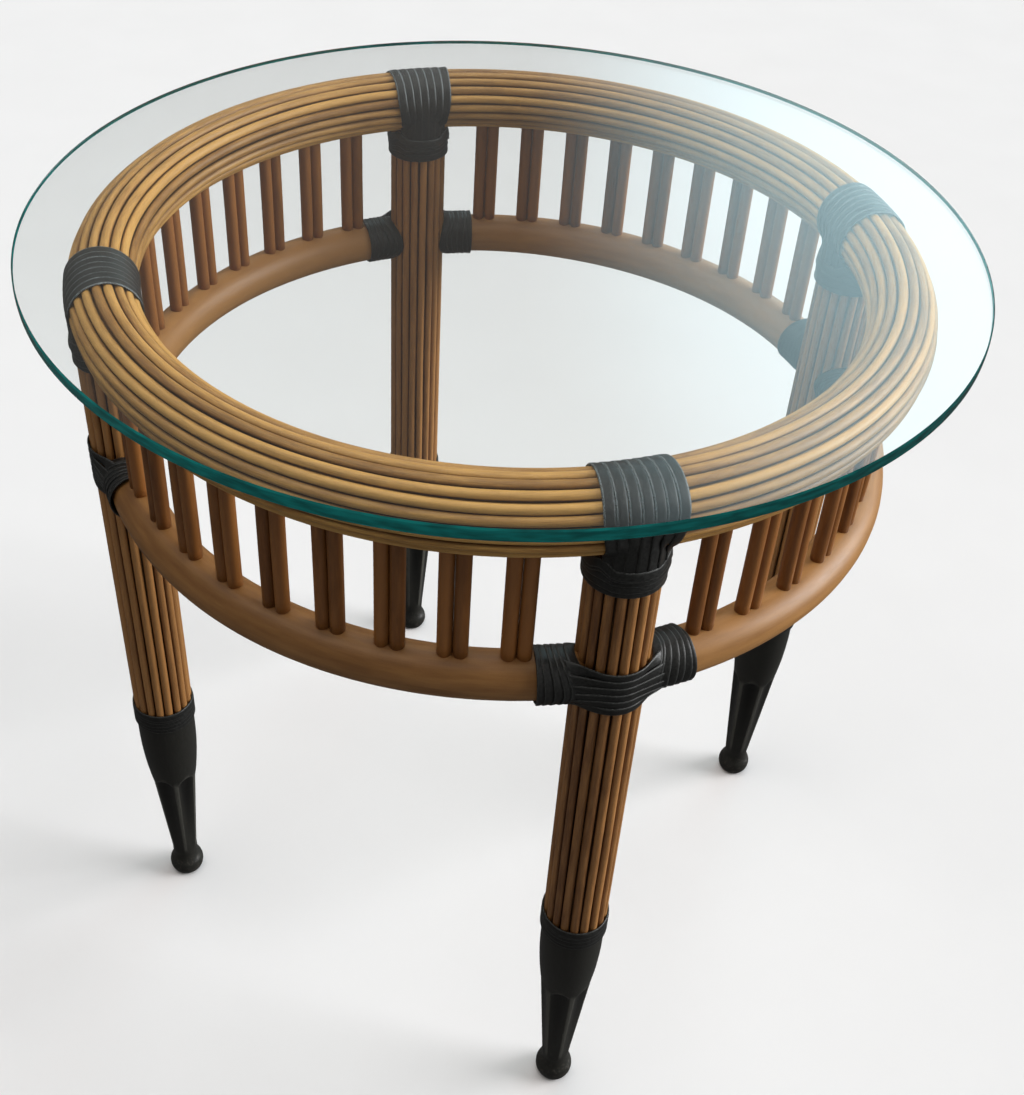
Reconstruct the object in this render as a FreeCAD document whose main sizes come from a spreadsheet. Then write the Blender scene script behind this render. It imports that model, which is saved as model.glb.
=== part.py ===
import FreeCAD, Part
import Sketcher
import math
import os

# Round side table: a loose glass disc on a ring of reeded rattan pole, four reeded legs on turned
# feet, a smooth lower rail, pairs of canes between rail and ring, and leather strips on every joint.
# Frame: +Z up, origin on the floor under the middle of the glass, millimetres and degrees.

Vector = FreeCAD.Vector
UP = Vector(0, 0, 1)

LEGS = (("right", 0), ("back", 90), ("left", 180), ("front", 270))
BAYS = (("right_back", 0), ("back_left", 90), ("left_front", 180), ("front_right", 270))

# Driving dimensions, each written once.
SIZES = (
    ("glass_diameter", "600"),
    ("glass_thickness", "8"),
    ("glass_arris", "1"),
    ("glass_rest_gap", "0.3"),
    ("ring_radius", "251"),
    ("ring_height", "551.4"),
    ("rail_height", "436"),
    ("rail_diameter", "30"),
    ("reed_diameter", "6.1"),
    ("reed_gap", "0.3"),
    ("reed_count", "18"),
    ("bare_reeds", "2"),
    ("reed_end_gap", "0.3"),
    ("lay_gap", "0.3"),
    ("strip_width", "5"),
    ("strip_thickness", "1.3"),
    ("strip_gap", "0.5"),
    ("collar_turns", "3"),
    ("collar_drop", "1.4"),
    ("rail_turns", "3"),
    ("foot_turns", "3"),
    ("foot_lap", "2.5"),
    ("saddle_width", "5.7"),
    ("saddle_count", "7"),
    ("saddle_gap", "0.5"),
    ("cross_count", "6"),
    ("cane_diameter", "9"),
    ("pair_count", "9"),
    ("pair_clearance", "1"),
    ("tenon_gap", "0.8"),
    ("tenon_depth", "10"),
    ("fit_gap", "0.15"),
    ("dowel_diameter", "8"),
    ("dowel_reach", "14"),
    ("foot_height", "193"),
    ("foot_inset", "0.6"),
    ("foot_collar_curve", "360"),
    ("foot_taper_top", "128"),
    ("foot_taper_diameter", "36.4"),
    ("foot_neck_height", "26"),
    ("foot_neck_diameter", "20"),
    ("foot_cove_curve", "14"),
    ("foot_bun_height", "15"),
    ("foot_bun_diameter", "24"),
    ("foot_bun_curve", "10.9"),
    ("foot_base_diameter", "19"),
    ("foot_tenon_diameter", "14"),
    ("foot_tenon_length", "22"),
    ("flute_count", "6"),
    ("flute_depth", "2.4"),
    ("flute_foot_depth", "0.6"),
    ("flute_curve", "20"),
    ("flute_foot_curve", "11.5"),
    ("flute_shoulder", "118"),
)

doc = FreeCAD.newDocument("rattan_side_table")
dims = doc.addObject("Spreadsheet::Sheet", "dims")
for row, (alias, number) in enumerate(SIZES, start=1):
    dims.set(f"A{row}", alias)
    dims.set(f"B{row}", number)
    dims.setAlias(f"B{row}", alias)
doc.recompute()

# Sizes that follow from the driving ones, as expressions that the objects share.
REED_STEP = "(360 deg / dims.reed_count)"
REED_CIRCLE = f"((dims.reed_diameter + dims.reed_gap) / 2 / sin({REED_STEP} / 2))"
POLE_RADIUS = f"({REED_CIRCLE} + dims.reed_diameter / 2)"
CORE_RADIUS = f"({REED_CIRCLE} - dims.reed_diameter / 2 - dims.lay_gap)"
WRAP_RADIUS = f"({POLE_RADIUS} + dims.lay_gap)"
RAIL_RADIUS = "(dims.rail_diameter / 2)"
BARE_HALF = f"({REED_CIRCLE} * sin({REED_STEP} / 2 * (dims.bare_reeds + 1)) - dims.reed_diameter / 2)"
TENON_RADIUS = f"({BARE_HALF} - dims.tenon_gap)"
TENON_TOP = f"(dims.ring_height - {CORE_RADIUS} + dims.tenon_depth)"
STRIP_PITCH = "(dims.strip_width + dims.strip_gap)"
COLLAR_TOP = f"(dims.ring_height - {POLE_RADIUS} - dims.collar_drop)"
STUB_LENGTH = f"(dims.rail_turns * {STRIP_PITCH} + dims.strip_width)"
STUB_ANGLE = f"(({WRAP_RADIUS} + {STUB_LENGTH} / 2) / dims.ring_radius * 180 / pi)"
FIRST_PAIR = (
    f"(({WRAP_RADIUS} + {STUB_LENGTH} + dims.pair_clearance + dims.cane_diameter + dims.lay_gap / 2)"
    " / dims.ring_radius * 180 / pi)"
)
PAIR_STEP = f"((90 - 2 * {FIRST_PAIR}) / (dims.pair_count - 1))"
CANE_OFFSET = "((dims.cane_diameter + dims.lay_gap) / 2 / dims.ring_radius * 180 / pi)"
DOWEL_HALF = f"({WRAP_RADIUS} + dims.dowel_reach)"
GLASS_BASE = (
    f"(dims.ring_height + {POLE_RADIUS} + dims.saddle_gap + dims.strip_thickness + dims.glass_rest_gap)"
)

sub_parts = []


def size(expression):
    """The number that an expression over the driving dimensions gives."""
    return float(dims.evalExpression(expression))


def make(kind, name, expressions=None, **values):
    """Add an object, set its plain values and bind its sizes."""
    made = doc.addObject(kind, name)
    for key, plain in values.items():
        setattr(made, key, plain)
    for key, text in (expressions or {}).items():
        made.setExpression(key, text)
    return made


def keep(made, label):
    """Mark an object as a sub-part: its label names its file."""
    made.Label = label
    sub_parts.append(made)
    return made


def turn(made, angle):
    """Turn an object about the table's axis."""
    made.Placement = FreeCAD.Placement(Vector(0, 0, 0), FreeCAD.Rotation(UP, angle))
    return made


def stand_at(made, angle):
    """Move an object from the leg's own frame, +X outward, to the leg at that angle."""
    turn(made, angle)
    made.setExpression("Placement.Base.x", f"dims.ring_radius * cos({angle} deg)")
    made.setExpression("Placement.Base.y", f"dims.ring_radius * sin({angle} deg)")
    return made


def shift_up(expression):
    return {"Placement.Base.z": expression}


# Glass top: one ground disc with an arris on both edges.
def add_glass():
    body = make("PartDesign::Body", "glass_body")
    plane = next(item for item in body.Origin.OriginFeatures if item.Role == "XY_Plane")
    outline = body.newObject("Sketcher::SketchObject", "glass_outline")
    outline.AttachmentSupport = (plane, [""])
    outline.MapMode = "FlatFace"
    outline.addGeometry(Part.Circle(Vector(0, 0, 0), UP, size("dims.glass_diameter") / 2))
    outline.addConstraint(Sketcher.Constraint("Coincident", 0, 3, -1, 1))
    across = outline.addConstraint(Sketcher.Constraint("Diameter", 0, size("dims.glass_diameter")))
    outline.setExpression(f"Constraints[{across}]", "dims.glass_diameter")
    disc = body.newObject("PartDesign::Pad", "glass_disc")
    disc.Profile = outline
    disc.setExpression("Length", "dims.glass_thickness")
    doc.recompute()
    rims = [f"Edge{i}" for i, edge in enumerate(disc.Shape.Edges, start=1) if len(edge.Vertexes) == 1]
    arris = body.newObject("PartDesign::Chamfer", "glass_edge")
    arris.Base = (disc, rims)
    arris.setExpression("Size", "dims.glass_arris")
    body.setExpression("Placement.Base.z", GLASS_BASE)
    keep(body, "glass_top")


# Upper ring core: one bent pole with a blind socket over each leg.
def add_ring_core():
    pole = make(
        "Part::Torus",
        "ring_pole",
        {"Radius1": "dims.ring_radius", "Radius2": CORE_RADIUS, **shift_up("dims.ring_height")},
    )
    sockets = []
    for leg, angle in LEGS:
        socket = make(
            "Part::Cylinder",
            f"ring_socket_{leg}",
            {
                "Radius": f"{TENON_RADIUS} + dims.fit_gap",
                "Height": f"{POLE_RADIUS} - {CORE_RADIUS} + dims.tenon_depth + dims.fit_gap",
            },
        )
        stand_at(socket, angle)
        socket.setExpression("Placement.Base.z", f"dims.ring_height - {POLE_RADIUS}")
        sockets.append(socket)
    holes = make("Part::Compound", "ring_sockets", Links=sockets)
    keep(make("Part::Cut", "ring_core_cut", Base=pole, Tool=holes), "ring_core")


# Ring reeds: round pencil reeds along the ring, cut over each leg, none along the bare underside.
def add_ring_reeds():
    reeds = []
    count = int(size("dims.reed_count"))
    bare = int(size("dims.bare_reeds"))
    end_angle = "(dims.reed_end_gap / dims.ring_radius * 180 / pi)"
    for index in range(bare // 2, count - bare // 2):
        lean = f"({REED_STEP} * ({index} + 0.5))"
        reed = make("Part::Torus", f"ring_reed_{index}")
        turn(reed, size(end_angle))
        reed.setExpression("Placement.Rotation.Angle", end_angle)
        reed.setExpression("Radius1", f"dims.ring_radius + {REED_CIRCLE} * sin({lean})")
        reed.setExpression("Radius2", "dims.reed_diameter / 2")
        reed.setExpression("Angle3", f"90 - 2 * {end_angle}")
        reed.setExpression("Placement.Base.z", f"dims.ring_height - {REED_CIRCLE} * cos({lean})")
        reeds.append(reed)
    for bay, angle in BAYS:
        quarter = make("Part::Compound", f"ring_reeds_of_{bay}", Links=reeds)
        keep(turn(quarter, angle), f"ring_reeds_{bay}")


# Room for the reeded ring and for the rail dowel, in the leg's own frame.
def leg_cutters():
    ring_room = make(
        "Part::Torus",
        "ring_room",
        {
            "Radius1": "dims.ring_radius",
            "Radius2": WRAP_RADIUS,
            "Placement.Base.x": "-dims.ring_radius",
            **shift_up("dims.ring_height"),
        },
    )
    dowel_hole = make(
        "Part::Cylinder",
        "dowel_hole",
        {"Radius": "dims.dowel_diameter / 2 + dims.fit_gap", "Height": f"2 * {WRAP_RADIUS}"},
    )
    dowel_hole.Placement.Rotation = FreeCAD.Rotation(Vector(1, 0, 0), -90)
    dowel_hole.setExpression("Placement.Base.y", f"-{WRAP_RADIUS}")
    dowel_hole.setExpression("Placement.Base.z", "dims.rail_height")
    return ring_room, dowel_hole


# Leg core: straight pole, coped under the ring, with a tenon above and a socket for the foot below.
def add_leg_cores(ring_room, dowel_hole):
    pole = make(
        "Part::Cylinder",
        "leg_pole",
        {
            "Radius": CORE_RADIUS,
            "Height": "dims.ring_height - dims.foot_height",
            **shift_up("dims.foot_height"),
        },
    )
    coped = make("Part::Cut", "leg_coped", Base=pole, Tool=ring_room)
    tenon_foot = f"(dims.ring_height - {POLE_RADIUS} - dims.tenon_depth)"
    tenon = make(
        "Part::Cylinder",
        "leg_tenon",
        {"Radius": TENON_RADIUS, "Height": f"{TENON_TOP} - {tenon_foot}", **shift_up(tenon_foot)},
    )
    stem = make("Part::Fuse", "leg_stem", Base=coped, Tool=tenon)
    socket = make(
        "Part::Cylinder",
        "foot_socket",
        {
            "Radius": "dims.foot_tenon_diameter / 2 + dims.fit_gap",
            "Height": "dims.foot_tenon_length + dims.fit_gap",
            **shift_up("dims.foot_height"),
        },
    )
    holes = make("Part::Compound", "leg_holes", Links=[socket, dowel_hole])
    for leg, angle in LEGS:
        core = make("Part::Cut", f"leg_core_of_{leg}", Base=stem, Tool=holes)
        keep(stand_at(core, angle), f"leg_core_{leg}")


# Leg reeds: the same reeds laid down each leg from the ring to the foot.
def add_leg_reeds(ring_room, dowel_hole):
    reeds = []
    for index in range(int(size("dims.reed_count"))):
        reeds.append(
            make(
                "Part::Cylinder",
                f"leg_reed_{index}",
                {
                    "Radius": "dims.reed_diameter / 2",
                    "Height": "dims.ring_height - dims.foot_height",
                    "Placement.Base.x": f"{REED_CIRCLE} * cos({index} * {REED_STEP})",
                    "Placement.Base.y": f"{REED_CIRCLE} * sin({index} * {REED_STEP})",
                    **shift_up("dims.foot_height"),
                },
            )
        )
    bundle = make("Part::Compound", "leg_reed_bundle", Links=reeds)
    room = make("Part::Compound", "leg_reed_room", Links=[ring_room, dowel_hole])
    for leg, angle in LEGS:
        laid = make("Part::Cut", f"leg_reeds_of_{leg}", Base=bundle, Tool=room)
        keep(stand_at(laid, angle), f"leg_reeds_{leg}")


# Turned foot: tenon, smooth collar, tapering shank with hollow flutes, cove and bun.
def add_feet():
    shoulder = f"({POLE_RADIUS} - dims.foot_inset)"
    tenon_top = "(dims.foot_height + dims.foot_tenon_length)"
    outline = (
        ("0", "0"),
        ("dims.foot_base_diameter / 2", "0"),
        ("dims.foot_bun_diameter / 2", "dims.foot_bun_height"),
        ("dims.foot_neck_diameter / 2", "dims.foot_neck_height"),
        ("dims.foot_taper_diameter / 2", "dims.foot_taper_top"),
        (shoulder, "dims.foot_height"),
        ("dims.foot_tenon_diameter / 2", "dims.foot_height"),
        ("dims.foot_tenon_diameter / 2", tenon_top),
        ("0", tenon_top),
    )
    bulges = {1: "dims.foot_bun_curve", 4: "dims.foot_collar_curve"}
    hollows = {2: "dims.foot_cove_curve"}
    for leg, angle in LEGS:
        body = make("PartDesign::Body", f"foot_body_{leg}")
        plane = next(item for item in body.Origin.OriginFeatures if item.Role == "XZ_Plane")
        profile = body.newObject("Sketcher::SketchObject", f"foot_profile_{leg}")
        profile.AttachmentSupport = (plane, [""])
        profile.MapMode = "FlatFace"
        draw_profile(profile, outline, bulges, hollows)
        turned = body.newObject("PartDesign::Revolution", f"foot_turned_{leg}")
        turned.Profile = profile
        turned.ReferenceAxis = (profile, ["V_Axis"])
        turned.Angle = 360
        add_flutes(body, leg)
        keep(stand_at(body, angle), f"foot_{leg}")


def draw_profile(profile, outline, bulges, hollows):
    """Closed outline of lines, and arcs of the given radii that bulge outward or are hollow."""
    arcs = {**bulges, **hollows}
    corners = [Vector(size(across), size(up), 0) for across, up in outline]
    for index, start in enumerate(corners):
        end = corners[(index + 1) % len(corners)]
        if index in arcs:
            side = 1 if index in bulges else -1
            profile.addGeometry(side_arc(start, end, size(arcs[index]), side))
        else:
            profile.addGeometry(Part.LineSegment(start, end))
    for index, start in enumerate(corners):
        edge = profile.Geometry[index]
        runs_back = (edge.StartPoint - start).Length > (edge.EndPoint - start).Length
        begin_point, end_point = (2, 1) if runs_back else (1, 2)
        pin_corner(profile, index, begin_point, *outline[index])
        pin_corner(profile, index, end_point, *outline[(index + 1) % len(outline)])
        if index in arcs:
            curve = profile.addConstraint(Sketcher.Constraint("Radius", index, size(arcs[index])))
            profile.setExpression(f"Constraints[{curve}]", arcs[index])


def pin_corner(profile, index, point, across, up):
    """Hold one end of an edge at its distance from the axis and its height."""
    for kind, text in (("DistanceX", across), ("DistanceY", up)):
        held = profile.addConstraint(Sketcher.Constraint(kind, -1, 1, index, point, size(text)))
        profile.setExpression(f"Constraints[{held}]", text)


def side_arc(start, end, radius, side):
    """Arc between two points of the outline: side 1 bulges away from the axis, -1 towards it."""
    chord = end - start
    middle = (start + end) * 0.5
    half = chord.Length / 2
    rise = radius - math.sqrt(radius * radius - half * half)
    outward = Vector(chord.y, -chord.x, 0).normalize()
    through = middle + outward * rise * side
    return Part.Arc(start, through, end) if side == 1 else Part.Arc(end, through, start)


# A flute is a tapering scoop whose axis leans with the shank, closed above by a round end.
FLUTE_FOOT_X = "(dims.foot_neck_diameter / 2 + dims.flute_foot_curve - dims.flute_foot_depth)"
SHANK_SLOPE = (
    "((dims.foot_taper_diameter - dims.foot_neck_diameter) / 2"
    " / (dims.foot_taper_top - dims.foot_neck_height))"
)
FLUTE_RISE = "(dims.flute_shoulder - dims.foot_neck_height)"
FLUTE_TOP_X = (
    f"(dims.foot_neck_diameter / 2 + {SHANK_SLOPE} * {FLUTE_RISE} + dims.flute_curve - dims.flute_depth)"
)
FLUTE_LEAN = f"atan(({FLUTE_TOP_X} - {FLUTE_FOOT_X}) / {FLUTE_RISE})"

# The feet are glued in as they come, so on the front one a ridge faces outward and not a flute.
# Each foot's turn, in steps from flute to flute.
FOOT_TURNS = {"right": 0, "back": 0, "left": 0, "front": 0.5}


def add_flutes(body, leg):
    """Scoop every flute out of the shank, evenly round it."""
    for index in range(int(size("dims.flute_count"))):
        about = f"({index + FOOT_TURNS[leg]} * 360 deg / dims.flute_count)"
        scoop = body.newObject("PartDesign::SubtractiveCone", f"flute_{index}_{leg}")
        scoop.setExpression("Radius1", "dims.flute_foot_curve")
        scoop.setExpression("Radius2", "dims.flute_curve")
        scoop.setExpression("Height", f"{FLUTE_RISE} / cos({FLUTE_LEAN})")
        scoop.setExpression("Placement", at_angle(FLUTE_FOOT_X, about, "dims.foot_neck_height", FLUTE_LEAN))
        end = body.newObject("PartDesign::SubtractiveSphere", f"flute_end_{index}_{leg}")
        end.setExpression("Radius", "dims.flute_curve")
        end.setExpression("Placement", at_angle(FLUTE_TOP_X, about, "dims.flute_shoulder", "0 deg"))


def at_angle(out, about, up, lean):
    """Placement at a distance from the axis and a turn about it, leaning outward."""
    place = f"vector({out} * cos({about}); {out} * sin({about}); {up})"
    return f"placement({place}; rotation({about}; {lean}; 0 deg))"


# Lower rail: one smooth pole in each bay, both ends coped to the reeded legs and bored for a dowel.
def add_rails():
    pole = make(
        "Part::Torus",
        "rail_pole",
        {"Radius1": "dims.ring_radius", "Radius2": RAIL_RADIUS, **shift_up("dims.rail_height")},
        Angle3=90,
    )
    room = []
    for end, angle in (("start", 0), ("finish", 90)):
        leg_room = make(
            "Part::Cylinder",
            f"rail_{end}_leg_room",
            {"Radius": WRAP_RADIUS, "Height": "2 * dims.rail_diameter"},
        )
        stand_at(leg_room, angle)
        leg_room.setExpression("Placement.Base.z", "dims.rail_height - dims.rail_diameter")
        bore = make(
            "Part::Cylinder",
            f"rail_{end}_bore",
            {
                "Radius": "dims.dowel_diameter / 2 + dims.fit_gap",
                "Height": f"2 * ({DOWEL_HALF} + dims.fit_gap)",
            },
        )
        lay_across(bore, angle, f"({DOWEL_HALF} + dims.fit_gap)")
        room.append(make("Part::Fuse", f"rail_{end}_room", Base=leg_room, Tool=bore))
    ends = make("Part::Compound", "rail_ends", Links=room)
    for bay, angle in BAYS:
        rail = make("Part::Cut", f"rail_of_{bay}", Base=pole, Tool=ends)
        keep(turn(rail, angle), f"rail_{bay}")


def lay_across(made, angle, half_length):
    """Lay a cylinder through a leg at the rail's height, along the ring's tangent."""
    along = FreeCAD.Rotation(UP, angle).multiply(FreeCAD.Rotation(Vector(1, 0, 0), -90))
    made.Placement = FreeCAD.Placement(Vector(0, 0, 0), along)
    made.setExpression(
        "Placement.Base.x", f"dims.ring_radius * cos({angle} deg) + {half_length} * sin({angle} deg)"
    )
    made.setExpression(
        "Placement.Base.y", f"dims.ring_radius * sin({angle} deg) - {half_length} * cos({angle} deg)"
    )
    made.setExpression("Placement.Base.z", "dims.rail_height")


# Rail dowels: one through each leg into both rail ends.
def add_rail_dowels():
    dowels = []
    for leg, angle in LEGS:
        dowel = make(
            "Part::Cylinder",
            f"rail_dowel_{leg}",
            {"Radius": "dims.dowel_diameter / 2", "Height": f"2 * {DOWEL_HALF}"},
        )
        lay_across(dowel, angle, DOWEL_HALF)
        dowels.append(dowel)
    keep(make("Part::Compound", "rail_dowel_set", Links=dowels), "rail_dowels")


# Spindles: canes in touching pairs, both ends coped to the poles that they stand between.
def add_spindles():
    canes = []
    for pair in range(int(size("dims.pair_count"))):
        for side in (-1, 1):
            angle = f"({FIRST_PAIR} + {pair} * {PAIR_STEP} + {side} * {CANE_OFFSET})"
            canes.append(
                make(
                    "Part::Cylinder",
                    f"cane_{len(canes)}",
                    {
                        "Radius": "dims.cane_diameter / 2",
                        "Height": "dims.ring_height - dims.rail_height",
                        "Placement.Base.x": f"dims.ring_radius * cos({angle})",
                        "Placement.Base.y": f"dims.ring_radius * sin({angle})",
                        **shift_up("dims.rail_height"),
                    },
                )
            )
    standing = make("Part::Compound", "canes", Links=canes)
    poles = []
    for name, radius, height in (
        ("ring", CORE_RADIUS, "dims.ring_height"),
        ("rail", RAIL_RADIUS, "dims.rail_height"),
    ):
        poles.append(
            make(
                "Part::Torus",
                f"cane_cope_{name}",
                {"Radius1": "dims.ring_radius", "Radius2": f"{radius} + dims.lay_gap", **shift_up(height)},
            )
        )
    copes = make("Part::Compound", "cane_copes", Links=poles)
    for bay, angle in BAYS:
        coped = make("Part::Cut", f"spindles_of_{bay}", Base=standing, Tool=copes)
        keep(turn(coped, angle), f"spindles_{bay}")


def add_shape(label, shape):
    """A sub-part whose shape is worked out here from the driving dimensions."""
    made = doc.addObject("Part::Feature", f"{label}_shape")
    made.Shape = shape
    return keep(made, label)


def tangent_strip(foot, centre, radius, thickness):
    """Straight end of a strip, from a foot point to where it meets a circle: its inner and outer line."""
    away = foot - centre
    swing = math.atan2(away.y, away.x) + math.acos(radius / away.Length)
    outward = Vector(math.cos(swing), math.sin(swing), 0)
    inner = (foot, centre + outward * radius)
    outer = (foot + outward * thickness, centre + outward * (radius + thickness))
    return inner, outer


def strap(foot, centre, radius, thickness, width):
    """Strip laid over a circle with both ends running off it, mirrored about the middle, width along +Z."""
    inner, outer = tangent_strip(foot, centre, radius, thickness)

    def mirrored(point):
        return Vector(-point.x, point.y, 0)

    top = Vector(centre.x, centre.y + radius, 0)
    crown = Vector(centre.x, centre.y + radius + thickness, 0)
    edges = [
        Part.makeLine(inner[0], inner[1]),
        Part.Arc(inner[1], top, mirrored(inner[1])).toShape(),
        Part.makeLine(mirrored(inner[1]), mirrored(inner[0])),
        Part.makeLine(mirrored(inner[0]), mirrored(outer[0])),
        Part.makeLine(mirrored(outer[0]), mirrored(outer[1])),
        Part.Arc(mirrored(outer[1]), crown, outer[1]).toShape(),
        Part.makeLine(outer[1], outer[0]),
        Part.makeLine(outer[0], inner[0]),
    ]
    return Part.Face(Part.Wire(edges)).extrude(UP * width)


# Ring bindings: strips side by side over the ring, their ends running down both faces of the leg.
def add_ring_bindings():
    width = size("dims.saddle_width")
    pole = size(POLE_RADIUS)
    strips = []
    count = int(size("dims.saddle_count"))
    for index in range(count):
        aside = (index - (count - 1) / 2) * size("dims.saddle_width + dims.strip_gap")
        near_edge = max(abs(aside) - width / 2, 0)
        bow = size("dims.ring_radius") - math.sqrt(size("dims.ring_radius") ** 2 - aside**2)
        reach = math.sqrt(pole**2 - near_edge**2) + size("dims.saddle_gap") + bow
        foot = Vector(reach, size(f"{COLLAR_TOP} + dims.lay_gap"), 0)
        centre = Vector(0, size("dims.ring_height"), 0)
        strip = strap(foot, centre, pole + size("dims.saddle_gap"), size("dims.strip_thickness"), width)
        strip.rotate(Vector(0, 0, 0), Vector(1, 0, 0), 90)
        strip.translate(Vector(-bow, aside + width / 2, 0))
        strips.append(strip)
    for leg, angle in LEGS:
        stand_at(add_shape(f"ring_binding_{leg}", Part.makeCompound(strips)), angle)


# Cross bands: strips over the outer face of the leg, both ends laid on the rail bindings.
def add_cross_bands():
    width = size("dims.strip_width")
    ring = size("dims.ring_radius")
    stub = math.radians(size(STUB_ANGLE))
    wound = size(f"{RAIL_RADIUS} + 2 * dims.lay_gap + dims.strip_thickness")
    strips = []
    count = int(size("dims.cross_count"))
    for index in range(count):
        above = (index - (count - 1) / 2) * size(STRIP_PITCH)
        near_edge = max(abs(above) - width / 2, 0)
        stand_off = math.sqrt(wound**2 - near_edge**2) - ring * (1 - math.cos(stub))
        foot = Vector(ring * math.sin(stub), stand_off, 0)
        strip = strap(foot, Vector(0, 0, 0), size(WRAP_RADIUS), size("dims.strip_thickness"), width)
        strip.rotate(Vector(0, 0, 0), UP, -90)
        strip.translate(UP * (size("dims.rail_height") + above - width / 2))
        strips.append(strip)
    for leg, angle in LEGS:
        stand_at(add_shape(f"cross_band_{leg}", Part.makeCompound(strips)), angle)


def biarc(start, start_way, end, end_way):
    """Two arcs that leave one point and reach another along the given directions."""
    span = end - start
    ways = start_way + end_way
    spread = 2 * (1 - start_way.dot(end_way))
    lead = span.dot(ways)
    reach = (math.sqrt(lead * lead + spread * span.dot(span)) - lead) / spread
    first_corner = start + start_way * reach
    second_corner = end - end_way * reach
    joint = (first_corner + second_corner) * 0.5
    arcs = []
    for begin, corner, finish in ((start, first_corner, joint), (joint, second_corner, end)):
        middle = (begin + finish) * 0.5
        half = (finish - begin).Length / 2
        height = (corner - middle).Length
        rise = half * math.tan(math.atan2(height, half) / 2)
        arcs.append(Part.Arc(begin, middle + (corner - middle) * (rise / height), finish).toShape())
    return arcs


def winding(inner_radius, turns, label):
    """One unbroken flat strip wound round the Z axis, its lowest edge at height 0."""
    width = size("dims.strip_width")
    thickness = size("dims.strip_thickness")
    climb = size(STRIP_PITCH) / (2 * math.pi)
    middle = inner_radius + thickness / 2

    def point(angle):
        return Vector(middle * math.cos(angle), middle * math.sin(angle), width / 2 + climb * angle)

    def way(angle):
        return Vector(-middle * math.sin(angle), middle * math.cos(angle), climb).normalize()

    arcs = []
    for half_turn in range(2 * turns):
        begin, finish = half_turn * math.pi, (half_turn + 1) * math.pi
        arcs += biarc(point(begin), way(begin), point(finish), way(finish))
    line = Part.Wire(arcs)
    inside, outside = inner_radius, inner_radius + thickness
    low_edge = [Vector(inside, 0, 0), Vector(outside, 0, 0)]
    high_edge = [Vector(outside, 0, width), Vector(inside, 0, width)]
    strip = Part.BRepOffsetAPI.MakePipeShell(line)
    strip.setBiNormalMode(UP)
    strip.add(Part.makePolygon(low_edge + high_edge + low_edge[:1]))
    strip.build()
    strip.makeSolid()
    print(f"{label}: least gap between turns {least_gap(arcs, width):.2f} mm")
    return strip.shape()


def least_gap(arcs, width):
    """Least distance from one turn's upper edge to the next turn's lower edge, on points of the line."""
    steps_per_arc = 12
    arcs_per_turn = 4
    points = []
    for arc in arcs:
        points += arc.discretize(steps_per_arc + 1)[:-1]
    turn_steps = steps_per_arc * arcs_per_turn
    nearest = math.inf
    for index, low in enumerate(points):
        for high in points[index + turn_steps // 2 :]:
            nearest = min(nearest, ((high - UP * width / 2) - (low + UP * width / 2)).Length)
    return nearest


# Collar and foot bindings: a strip wound round the leg below the ring, and where reeds meet the foot.
def add_leg_bindings():
    collar_length = f"(dims.collar_turns * {STRIP_PITCH} + dims.strip_width)"
    for kind, turns, base in (
        ("collar", "dims.collar_turns", f"{COLLAR_TOP} - {collar_length}"),
        ("foot", "dims.foot_turns", "dims.foot_height - dims.foot_lap"),
    ):
        wound = winding(size(WRAP_RADIUS), int(size(turns)), f"{kind} binding")
        for leg, angle in LEGS:
            binding = stand_at(add_shape(f"{kind}_binding_{leg}", wound.copy()), angle)
            binding.setExpression("Placement.Base.z", base)


# Rail bindings: a strip wound round each rail end, from the leg to short of the first canes.
def add_rail_bindings():
    wound = winding(size(f"{RAIL_RADIUS} + dims.lay_gap"), int(size("dims.rail_turns")), "rail binding")
    half = size(STUB_LENGTH) / 2
    stub = size(STUB_ANGLE)
    for bay, angle in BAYS:
        for end, middle in (("start", angle + stub), ("finish", angle + 90 - stub)):
            along = FreeCAD.Rotation(UP, middle).multiply(FreeCAD.Rotation(Vector(1, 0, 0), -90))
            seat = FreeCAD.Rotation(UP, middle).multVec(Vector(size("dims.ring_radius"), -half, 0))
            binding = add_shape(f"rail_binding_{bay}_{end}", wound.copy())
            binding.Placement = FreeCAD.Placement(seat + UP * size("dims.rail_height"), along)


add_glass()
add_ring_core()
add_ring_reeds()
shared_room = leg_cutters()
add_leg_cores(*shared_room)
add_leg_reeds(*shared_room)
add_feet()
add_rails()
add_rail_dowels()
add_spindles()
add_ring_bindings()
add_cross_bands()
add_leg_bindings()
add_rail_bindings()
doc.recompute()

for made in doc.Objects:
    if "Invalid" in made.State or "Error" in made.State:
        raise RuntimeError(f"{made.Label} failed: {made.State}")
for made in sub_parts:
    if made.Shape.isNull() or not made.Shape.isValid() or not made.Shape.Solids:
        raise RuntimeError(f"{made.Label} has no valid solid")

os.makedirs("parts", exist_ok=True)
for made in sub_parts:
    made.Shape.exportStep(os.path.join("parts", f"{made.Label}.step"))
print(f"{len(sub_parts)} sub-parts, {sum(len(made.Shape.Solids) for made in sub_parts)} solids")
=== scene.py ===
import math
import random

import bpy
from mathutils import Matrix, Vector


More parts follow.
